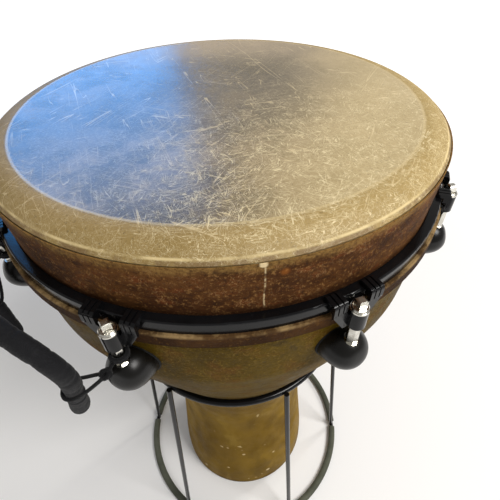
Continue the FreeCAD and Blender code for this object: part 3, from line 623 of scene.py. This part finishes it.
def make_strap():
    first = [polar(r, STRAP_MIDDLE + a, z) for r, a, z in STRAP_HALF]
    crown = [polar(STRAP_CROWN[0], STRAP_MIDDLE, STRAP_CROWN[2])]
    last = [polar(r, STRAP_MIDDLE - a, z) for r, a, z in reversed(STRAP_HALF)]
    route = first + crown + last
    # the rounded end reaches past the route's last point
    route[0] = route[0] + (route[0] - route[1]).normalized() * STRAP_END_RADIUS * MM
    route[-1] = route[-1] + (route[-1] - route[-2]).normalized() * STRAP_END_RADIUS * MM
    guide = nurbs_curve("strap_guide", route)
    path = resampled(line_of(guide), 0.9 * MM)
    bpy.data.objects.remove(guide)
    along = [0.0]
    for a, b in zip(path, path[1:]):
        along.append(along[-1] + (b - a).length)
    necks = []
    for side in (-1, 1):
        hold, _ = hold_frame(side)
        nearest = min(range(len(path)), key=lambda k: (path[k] - hold).length)
        necks.append(along[nearest])
    rng = random.Random(5)
    # each crease: its place along the strap, width, side and depth
    folds = [(rng.uniform(0.0, along[-1]), rng.uniform(0.6, 1.3) * MM,
              rng.uniform(0, 6.28), rng.uniform(0.15, 0.5)) for _ in range(CREASES)]
    for neck in necks:
        for k in range(NECK_CREASES):
            gap = (3.4 + 1.7 * abs(k - 4)) * MM * (1 if k > 4 else -1)
            folds.append((neck + gap, 0.8 * MM, rng.uniform(0, 6.28), 0.45))

    def skin(at, total, angle):
        end = min(at, total - at)
        bulb = STRAP_END_RADIUS
        if end < bulb * MM:
            round_off = math.sqrt(max(0.0, 1.0 - (1.0 - end / (bulb * MM)) ** 2))
            return MM * max(0.3, bulb * round_off)
        away = min(abs(at - neck) for neck in necks) / MM
        body = STRAP_RADIUS + 0.1
        body += 0.45 * math.exp(-((end / MM - 9.0) / 7.0) ** 2)
        body -= (STRAP_RADIUS + 0.1 - NECK_RADIUS) * math.exp(-(away / 3.6) ** 4)
        body += 0.3 * math.cos(2.0 * angle + 0.6)
        body += 0.35 * math.exp(-(math.remainder(angle - 2.2, 2.0 * math.pi) / 0.12) ** 2)
        for where, width, phase, depth in folds:
            one_side = 0.5 + 0.5 * math.cos(angle - phase)
            body -= depth * math.exp(-((at - where) / width) ** 2) * one_side
        return body * MM

    strap = tube_mesh("padded_carry_strap", path, skin, 40, finishes["strap_fabric"])
    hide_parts("carry_strap")
    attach(strap, "drum")


def cord_mesh(name, points, sides=14):
    """A braided cord and its middle line, the smooth curve that has points as its controls."""
    guide = nurbs_curve(name + "_guide", points)
    path = resampled(line_of(guide), 0.45 * MM)
    bpy.data.objects.remove(guide)

    def skin(at, total, angle):
        twist = BRAID_STRANDS * 2.0 * math.pi * at / BRAID_PITCH
        return CORD_RADIUS * (1.0 - BRAID_DEPTH * (0.5 + 0.5 * math.cos(3.0 * angle - twist)))

    cord = tube_mesh(name, path, skin, sides, finishes["cord_fabric"])
    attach(cord, "drum")
    return cord, path


def make_tie(name, lug_azimuth, side, node):
    """The cord from a lug's nut to the strap: turns, a knot and a loop round the strap's neck."""
    knot = polar(KNOT[0], lug_azimuth + side * KNOT[1], KNOT[2])
    hold, along = hold_frame(side)
    reach = knot - hold
    rise = reach.dot(along)
    towards = reach - along * rise
    distance = towards.length
    towards.normalize()
    across = along.cross(towards)
    corner, leaves = TIE_CORNER * MM, TIE_LEAVES * MM
    spread, lift = TIE_SPREAD * MM, 0.4 * MM
    route = [(distance, -spread, rise), (leaves, -corner, lift), (-corner, -corner, 0.0),
             (-corner, corner, 0.0), (leaves, corner, lift), (distance, spread, rise)]
    points = [hold + towards * f + across * w + along * u for f, w, u in route]
    loop, loop_path = cord_mesh(name + "_loop", points)
    # turns round the nut, one cord diameter apart
    centre = polar(ROD_AXIS_RADIUS, lug_azimuth, 0.0)
    turns = []
    low, high = COIL_HEIGHTS
    for i in range(COIL_POINTS):
        a = math.radians(lug_azimuth + side * (COIL_START + COIL_STEP * i))
        height = low + (high - low) * i / (COIL_POINTS - 1)
        offset = Vector((math.cos(a) * COIL_RADIUS, math.sin(a) * COIL_RADIUS, height))
        turns.append(centre + offset * MM)
    turns.insert(0, knot.lerp(turns[0], 0.15))
    winding, winding_path = cord_mesh(name + "_winding", turns)
    # the knot: three crossed turns of the same cord
    rng = random.Random(int(abs(lug_azimuth) * 10))
    for i in range(KNOT_TURNS):
        tilt = Matrix.Rotation(math.radians(60.0 * i + rng.uniform(-12, 12)), 3, along)
        lean = Matrix.Rotation(math.radians(55.0 + rng.uniform(-15, 15)), 3, across)
        ring = []
        for k in range(KNOT_POINTS):
            a = 2.0 * math.pi * k / (KNOT_POINTS - 1)
            flat = across * (KNOT_WIDTH * math.cos(a)) + along * (KNOT_HEIGHT * math.sin(a))
            ring.append(knot + tilt @ lean @ flat)
        cord_mesh("%s_knot_%d" % (name, i + 1), ring)[0]
    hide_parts(node)


make_strap()
make_tie("front_tie", FRONT_LUG, -1, "strap_tie_front")
make_tie("side_tie", SIDE_LUG, 1, "strap_tie_side")


FLOOR_HALF = 6.0
FLOOR_DROP = 0.0002
FLOOR_GLOW = (0.7, 2.4)
ROOM_STRENGTH = 0.38


# ---- floor, light -----------------------------------------------------------------------
def make_floor():
    s = Surface("floor_white", specular=0.3)
    base = s.mix(s.noise(1.5, 2.0), (0.90, 0.90, 0.905), (0.93, 0.93, 0.93))
    glow = s.band(s.radius(), *FLOOR_GLOW, 0.0, 0.75)
    s.link(glow, s.shader.inputs["Emission Strength"])
    s.shader.inputs["Emission Color"].default_value = (1.0, 1.0, 1.0, 1.0)
    s.finish(base, 0.55, s.bump(s.noise(60.0, 2.0), 0.02, 0.001))
    corners = [(x * FLOOR_HALF, y * FLOOR_HALF, 0) for x, y in ((-1, -1), (1, -1), (1, 1), (-1, 1))]
    floor = mesh_object("floor", corners, [(0, 1, 2, 3)], s.material)
    floor.location.z = -FLOOR_DROP


def area_light(name, location, target, size, power, colour, size_y=None, sheen_only=False):
    """A soft light. One that is sheen_only shows in reflections and lights nothing."""
    data = bpy.data.lights.new(name, "AREA")
    data.energy = power
    data.color = colour
    data.size = size
    if size_y:
        data.shape = "RECTANGLE"
        data.size_y = size_y
    item = bpy.data.objects.new(name, data)
    item.location = location
    direction = Vector(target) - Vector(location)
    item.rotation_euler = direction.to_track_quat("-Z", "Y").to_euler()
    item.visible_diffuse = not sheen_only
    scene.collection.objects.link(item)
    return item


make_floor()
world = bpy.data.worlds.new("world")
world.use_nodes = True
tree = world.node_tree
room = tree.nodes["Background"]
room.inputs["Color"].default_value = (1.0, 0.98, 0.95, 1.0)
room.inputs["Strength"].default_value = ROOM_STRENGTH
paper = tree.nodes.new("ShaderNodeBackground")
paper.inputs["Color"].default_value = (1.0, 1.0, 1.0, 1.0)
seen = tree.nodes.new("ShaderNodeLightPath")
choice = tree.nodes.new("ShaderNodeMixShader")
tree.links.new(seen.outputs["Is Camera Ray"], choice.inputs["Fac"])
tree.links.new(room.outputs["Background"], choice.inputs[1])
tree.links.new(paper.outputs["Background"], choice.inputs[2])
tree.links.new(choice.outputs["Shader"], tree.nodes["World Output"].inputs["Surface"])
scene.world = world
area_light("window", (-1.20, 2.98, 2.05), (0.0, 0.0, 0.63), 1.9, 50.0, (0.03, 0.37, 1.0),
           size_y=1.8, sheen_only=True)
area_light("wall", (0.85, 3.12, 1.95), (0.0, 0.0, 0.63), 2.4, 5.0, (1.0, 0.86, 0.62),
           size_y=1.3, sheen_only=True)
area_light("key", (1.1, -0.9, 2.1), (0.05, -0.05, 0.3), 0.8, 37.0, (1.0, 0.98, 0.955))
side_light = area_light("side", (1.6, 0.9, 1.5), (0.0, 0.0, 0.5), 0.5, 16.0, (1.0, 0.96, 0.90))
side_light.visible_glossy = False

scene.view_settings.view_transform = "Standard"
